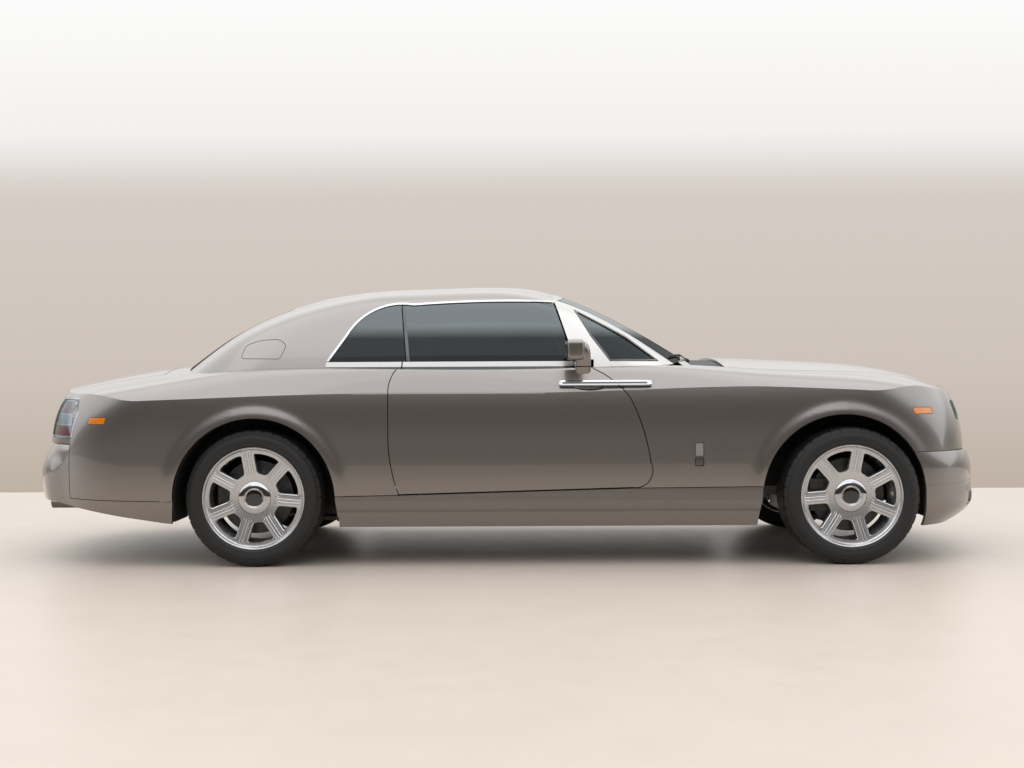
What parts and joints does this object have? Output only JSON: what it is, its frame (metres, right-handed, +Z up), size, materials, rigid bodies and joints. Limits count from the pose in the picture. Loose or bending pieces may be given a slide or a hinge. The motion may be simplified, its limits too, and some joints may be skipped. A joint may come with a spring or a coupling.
{
  "type": "coupe car",
  "caption": "Large two-door hardtop coupe with rear-hinged doors, opening bonnet and boot, turning wheels and steering.",
  "frame": {"origin": "on the ground, under the middle of the car's length and width", "axes": "+X to the nose, +Y to the car's left, +Z up"},
  "size_m": [5.6098, 2.17, 1.6037],
  "materials": {
    "paint": "metallic gloss",
    "satin_metal": "satin",
    "glass": "tinted",
    "lamp_clear": "clear",
    "lamp_red": "gloss",
    "lamp_amber": "gloss",
    "chrome": "polished",
    "black_plastic": "matt",
    "dash": "grained",
    "leather": "grained",
    "carpet_steel": "matt",
    "steel": "satin",
    "iron": "matt",
    "engine": "cast",
    "exhaust_steel": "dull",
    "tyre": "matt",
    "wheel": "painted silver"
  },
  "bodies": {
    "body": {"fender_left": "paint", "fender_right": "paint", "quarter_left": "paint", "quarter_right": "paint", "rear_deck": "paint", "sills": "paint", "roof": "paint", "front_bumper": "paint", "rear_bumper": "paint", "windscreen_frame": "satin_metal", "windscreen": "glass", "side_glass": "glass", "rear_window": "glass", "headlamps": "lamp_clear", "tail_lamps": "lamp_red", "side_markers": "lamp_amber", "grille": "chrome", "cowl": "black_plastic", "dashboard": "dash", "console": "dash", "front_seats": "leather", "rear_seat": "leather", "seat_bases": "black_plastic", "floor": "carpet_steel", "front_structure": "steel", "rear_structure": "steel", "front_subframe": "iron", "rear_subframe": "iron", "engine_block": "engine", "exhaust": "exhaust_steel"},
    "door_left": {"door_left": "paint", "door_glass_left": "glass", "mirror_left": "paint", "door_handle_left": "chrome"},
    "knuckle_left": {"knuckle_left": "iron"},
    "door_right": {"door_right": "paint", "door_glass_right": "glass", "mirror_right": "paint", "door_handle_right": "chrome"},
    "knuckle_right": {"knuckle_right": "iron"},
    "bonnet": {"bonnet": "satin_metal"},
    "boot_lid": {"boot_lid": "paint"},
    "fuel_flap": {"fuel_flap": "paint"},
    "steering_wheel": {"steering_wheel": "dash"},
    "wheel_front_left": {"tyre_front_left": "tyre", "wheel_front_left": "wheel"},
    "wheel_front_right": {"tyre_front_right": "tyre", "wheel_front_right": "wheel"},
    "wheel_rear_left": {"tyre_rear_left": "tyre", "wheel_rear_left": "wheel"},
    "wheel_rear_right": {"tyre_rear_right": "tyre", "wheel_rear_right": "wheel"}
  },
  "joints": [
    {"name": "steer_left", "type": "hinge", "parent": "body", "child": "knuckle_left", "pos_m": [1.9195, 0.7835, 0.382], "axis": [0, 0, 1], "range_deg": [-35, 35]},
    {"name": "steer_right", "type": "hinge", "parent": "body", "child": "knuckle_right", "pos_m": [1.9195, -0.7835, 0.382], "axis": [0, 0, 1], "range_deg": [-35, 35]},
    {"name": "steering_wheel_turn", "type": "hinge", "parent": "body", "child": "steering_wheel", "pos_m": [0.52, 0.39, 0.92], "axis": [-0.9135, 0, 0.4067], "range_deg": [-490, 490]},
    {"name": "door_left_hinge", "type": "hinge", "parent": "body", "child": "door_left", "pos_m": [-0.605, 0.985, 0.7], "axis": [0, 0, 1], "range_deg": [0, 70]},
    {"name": "door_right_hinge", "type": "hinge", "parent": "body", "child": "door_right", "pos_m": [-0.605, -0.985, 0.7], "axis": [0, 0, -1], "range_deg": [0, 70]},
    {"name": "bonnet_hinge", "type": "hinge", "parent": "body", "child": "bonnet", "pos_m": [1.262, 0, 1.17], "axis": [0, -1, 0], "range_deg": [0, 50]},
    {"name": "boot_hinge", "type": "hinge", "parent": "body", "child": "boot_lid", "pos_m": [-1.968, 0, 1.14], "axis": [0, 1, 0], "range_deg": [0, 60]},
    {"name": "fuel_flap_hinge", "type": "hinge", "parent": "body", "child": "fuel_flap", "pos_m": [-1.25, -0.822, 1.2], "axis": [0, 0.42, 0.9075], "range_deg": [0, 80]},
    {"name": "front_left_roll", "type": "hinge", "parent": "knuckle_left", "child": "wheel_front_left", "pos_m": [1.9195, 0.8435, 0.382], "axis": [0, 1, 0], "continuous": true},
    {"name": "front_right_roll", "type": "hinge", "parent": "knuckle_right", "child": "wheel_front_right", "pos_m": [1.9195, -0.8435, 0.382], "axis": [0, 1, 0], "continuous": true},
    {"name": "rear_left_roll", "type": "hinge", "parent": "body", "child": "wheel_rear_left", "pos_m": [-1.4005, 0.8355, 0.382], "axis": [0, 1, 0], "continuous": true},
    {"name": "rear_right_roll", "type": "hinge", "parent": "body", "child": "wheel_rear_right", "pos_m": [-1.4005, -0.8355, 0.382], "axis": [0, 1, 0], "continuous": true}
  ],
  "couplings": [
    {"joint": "steer_right", "follows": "steer_left", "ratio": 1},
    {"joint": "steering_wheel_turn", "follows": "steer_left", "ratio": 14}
  ]
}
